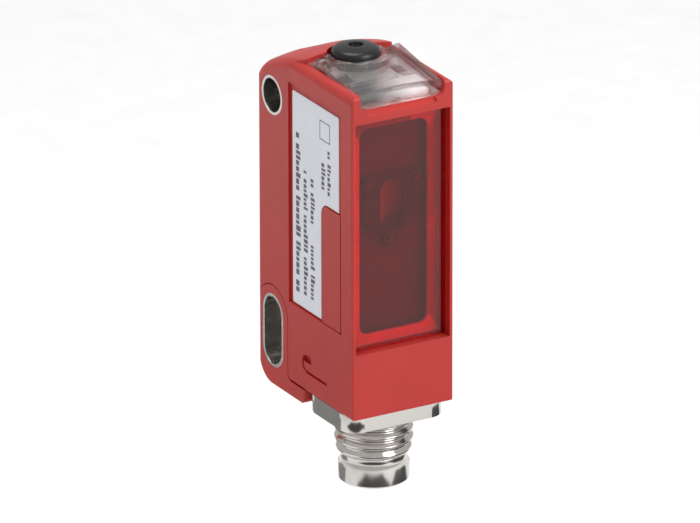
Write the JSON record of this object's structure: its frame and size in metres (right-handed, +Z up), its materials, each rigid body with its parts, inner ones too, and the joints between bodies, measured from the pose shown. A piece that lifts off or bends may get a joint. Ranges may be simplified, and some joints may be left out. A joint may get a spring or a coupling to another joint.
{
  "type": "photoelectric sensor",
  "caption": "Compact cuboid photoelectric sensor with a tinted optics window, clear indicator cover, push-to-teach button, sleeved mounting holes and a threaded M8 plug.",
  "frame": {"origin": "centre of the upper mounting hole, midway across the width", "axes": "+X across the width along the mounting holes, -Y the way the optics look, +Z up, away from the connector"},
  "size_m": [0.0114, 0.0185, 0.0443],
  "materials": {
    "red_plastic": "fine moulded satin",
    "nickel": "nickel plate",
    "label_foil": "satin foil",
    "tinted_pane": "polished",
    "bonding": "satin",
    "clear_plastic": "polished",
    "black_button": "satin",
    "black_rubber": "matt",
    "spring_steel": "bright",
    "black_plastic": "satin",
    "circuit_board": "solder mask",
    "white_board": "white solder mask",
    "led_resin": "gloss",
    "chip_resin": "matt",
    "ceramic": "satin",
    "optics_plastic": "matt",
    "retainer_black": "matt",
    "lens_glass": "polished",
    "filter_glass": "polished",
    "gold_plate": "gold plate",
    "receiver_resin": "gloss",
    "tinned_steel": "tinned",
    "flex_film": "gloss"
  },
  "bodies": {
    "sensor_body": {"housing": "red_plastic", "end_cap": "red_plastic", "upper_sleeve": "nickel", "lower_sleeve": "nickel", "type_label": "label_foil", "front_window": "tinted_pane", "window_gasket": "bonding", "indicator_cover": "clear_plastic", "button_seal": "black_rubber", "switch_dome": "spring_steel", "tact_switch": "black_plastic", "indicator_board": "white_board", "light_guide": "clear_plastic", "ready_led": "led_resin", "output_led": "led_resin", "main_board": "circuit_board", "processor_chip": "chip_resin", "driver_chip": "chip_resin", "board_capacitors": "ceramic", "board_header": "black_plastic", "optics_carrier": "optics_plastic", "objective_lens": "lens_glass", "lens_retainer": "retainer_black", "polarising_filter": "filter_glass", "beam_splitter": "lens_glass", "laser_diode": "gold_plate", "receiver_diode": "receiver_resin", "receiver_shield": "tinned_steel", "connector_shell": "nickel", "connector_seal": "black_rubber", "contact_carrier": "black_plastic", "contact_pins": "gold_plate", "flex_strip": "flex_film"},
    "button": {"teach_button": "black_button"}
  },
  "joints": [
    {"name": "teach_press", "type": "slide", "parent": "sensor_body", "child": "button", "axis": [0, 0, -1], "range_m": [0, 0.0003], "stiffness_N_per_m": 1500, "springref_m": -0.0004, "deforming": ["switch_dome"]}
  ]
}
